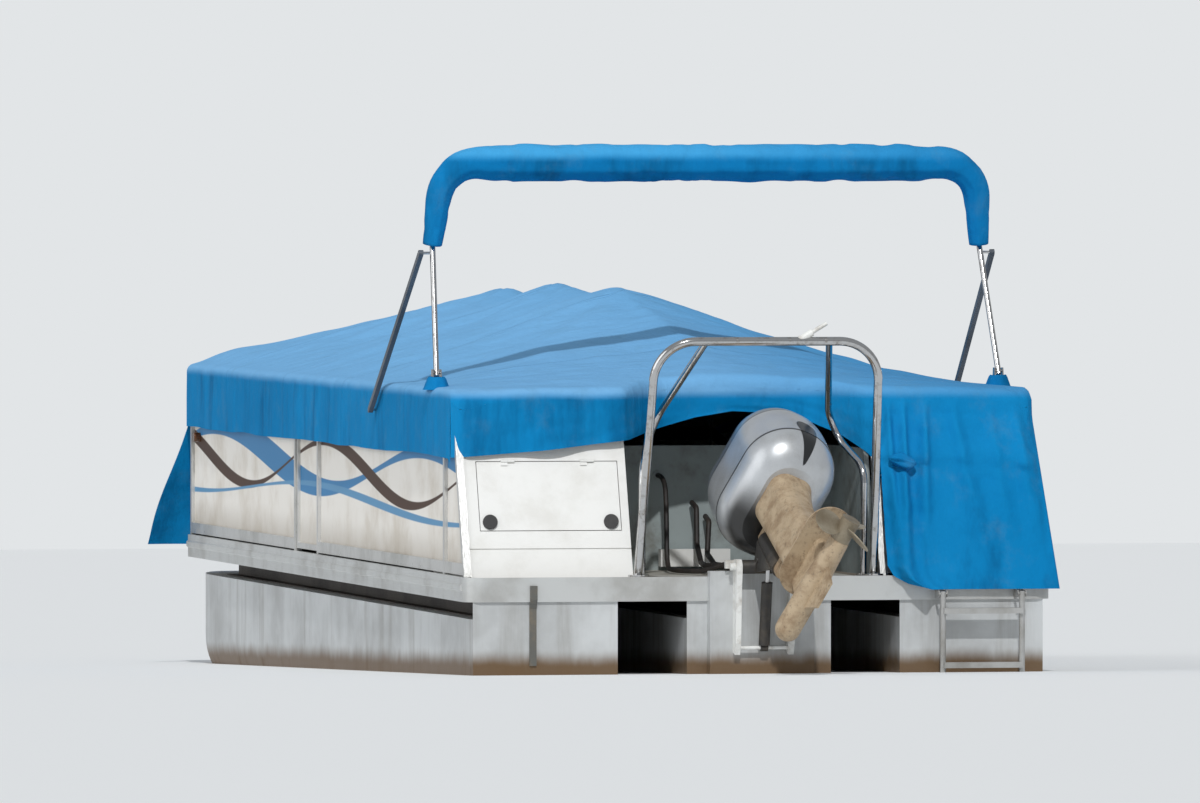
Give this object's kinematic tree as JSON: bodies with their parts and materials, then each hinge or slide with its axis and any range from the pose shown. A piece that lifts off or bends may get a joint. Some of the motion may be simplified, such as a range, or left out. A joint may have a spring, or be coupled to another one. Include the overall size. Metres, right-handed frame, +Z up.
{
  "type": "pontoon boat",
  "caption": "Pontoon boat laid up under a blue mooring cover: log hulls, fenced deck, tow arch, raised outboard, ladder and folded top in its boot.",
  "frame": {"origin": "On the ground plane under the boat's bounding box centre, level with the bottom of the logs.", "axes": "+X forward to the bow, +Y to port, +Z up."},
  "size_m": [8.4351, 2.86, 2.666],
  "materials": {
    "log_metal": "weathered satin with water stains",
    "frame_metal": "mill finish",
    "deck_board": "matt",
    "trim_metal": "satin",
    "fence_metal": "satin anodised",
    "panel_sheet": "satin warm white with curved stripes",
    "locker_shell": "soft gloss",
    "latch_black": "matt",
    "well_grey": "matt",
    "floor_sheet": "satin",
    "bright_tube": "polished",
    "mount_white": "satin",
    "mount_dark": "satin",
    "cowl_silver": "metallic gloss",
    "pan_silver": "metallic satin",
    "engine_metal": "matt",
    "leg_paint": "dull with dried silt",
    "prop_metal": "dull",
    "ram_metal": "satin",
    "cable_black": "matt",
    "ladder_metal": "satin",
    "lamp_brown": "gloss",
    "stay_metal": "satin",
    "leg_tube": "satin",
    "cover_blue": "woven canvas",
    "boot_blue": "woven canvas"
  },
  "bodies": {
    "hull": {"log_port": "log_metal", "log_centre": "log_metal", "log_starboard": "log_metal", "stern_plates": "log_metal", "bow_eyes": "log_metal", "risers": "frame_metal", "cross_channels": "frame_metal", "deck": "deck_board", "side_trim": "trim_metal", "end_trim": "trim_metal", "fence_port": "fence_metal", "fence_starboard": "fence_metal", "fence_bow": "fence_metal", "fence_stern": "fence_metal", "panels_port": "panel_sheet", "panels_starboard": "panel_sheet", "panels_bow": "panel_sheet", "panel_stern": "panel_sheet", "locker": "locker_shell", "well_walls": "well_grey", "well_floor": "floor_sheet", "tow_arch": "bright_tube", "tow_hitch": "mount_white", "transom": "log_metal", "clamp_bracket": "mount_white", "control_cable": "cable_black", "ladder_lugs": "ladder_metal", "sounder_arm": "mount_white", "side_lights": "lamp_brown", "top_brackets": "leg_tube", "cover_port": "cover_blue", "cover_starboard": "cover_blue", "cover_sides": "cover_blue", "cover_bow": "cover_blue", "cover_stern": "cover_blue", "cover_stern_flap": "cover_blue"},
    "swivel": {"swivel_bracket": "mount_dark"},
    "outboard": {"outboard_pan": "pan_silver", "outboard_cowl": "cowl_silver", "engine_block": "engine_metal", "outboard_leg": "leg_paint", "gearcase": "leg_paint"},
    "propeller": {"propeller": "prop_metal"},
    "tilt_barrel": {"tilt_barrel": "mount_dark"},
    "tilt_rod": {"tilt_rod": "ram_metal"},
    "ladder": {"ladder": "ladder_metal"},
    "folded_top": {"top_legs": "leg_tube", "top_boot": "boot_blue"},
    "stays": {"top_stays": "stay_metal"},
    "gate": {"gate_frame": "fence_metal", "gate_panel": "panel_sheet"},
    "hatch": {"locker_hatch": "locker_shell", "hatch_latches": "latch_black"}
  },
  "joints": [
    {"name": "motor_tilt", "type": "hinge", "parent": "hull", "child": "swivel", "pos_m": [-3.24744, 0, 0.845], "axis": [0, 1, 0], "range_deg": [-68, 2]},
    {"name": "motor_steer", "type": "hinge", "parent": "swivel", "child": "outboard", "pos_m": [-3.42776, 0, 0.90157], "axis": [0.9272, 0, 0.3746], "range_deg": [-55, 5]},
    {"name": "propeller_spin", "type": "hinge", "parent": "outboard", "child": "propeller", "pos_m": [-4.07415, -0.14792, 0.98253], "axis": [0.3395, 0.4226, -0.8403], "continuous": true},
    {"name": "ram_swing", "type": "hinge", "parent": "hull", "child": "tilt_barrel", "pos_m": [-3.22244, 0, 0.495], "axis": [0, 1, 0], "range_deg": [-1.3, 0.2]},
    {"name": "ram_stroke", "type": "slide", "parent": "tilt_barrel", "child": "tilt_rod", "axis": [-0.2197, 0, 0.9756], "range_m": [-0.077, 0.003]},
    {"name": "ladder_swing", "type": "hinge", "parent": "hull", "child": "ladder", "pos_m": [-3.20444, -0.97, 0.722], "axis": [0, 1, 0], "range_deg": [0, 160]},
    {"name": "top_fold", "type": "hinge", "parent": "hull", "child": "folded_top", "pos_m": [-2.26244, 0, 1.67], "axis": [0, -1, 0], "range_deg": [0, 76]},
    {"name": "stay_swing", "type": "hinge", "parent": "folded_top", "child": "stays", "pos_m": [-2.02885, 0, 2.18857], "axis": [0, -1, 0], "range_deg": [-77, 1]},
    {"name": "gate_swing", "type": "hinge", "parent": "hull", "child": "gate", "pos_m": [0.54656, 1.235, 1.195], "axis": [0, 0, -1], "range_deg": [0, 95]},
    {"name": "hatch_lift", "type": "hinge", "parent": "hull", "child": "hatch", "pos_m": [-2.82645, 0.8775, 1.295], "axis": [0, 1, 0], "range_deg": [0, 85]}
  ],
  "couplings": [
    {"joint": "ram_swing", "follows": "motor_tilt", "ratio": 0.01655},
    {"joint": "ram_stroke", "follows": "motor_tilt", "m_per_rad": 0.06312},
    {"joint": "stay_swing", "follows": "top_fold", "ratio": -1}
  ]
}
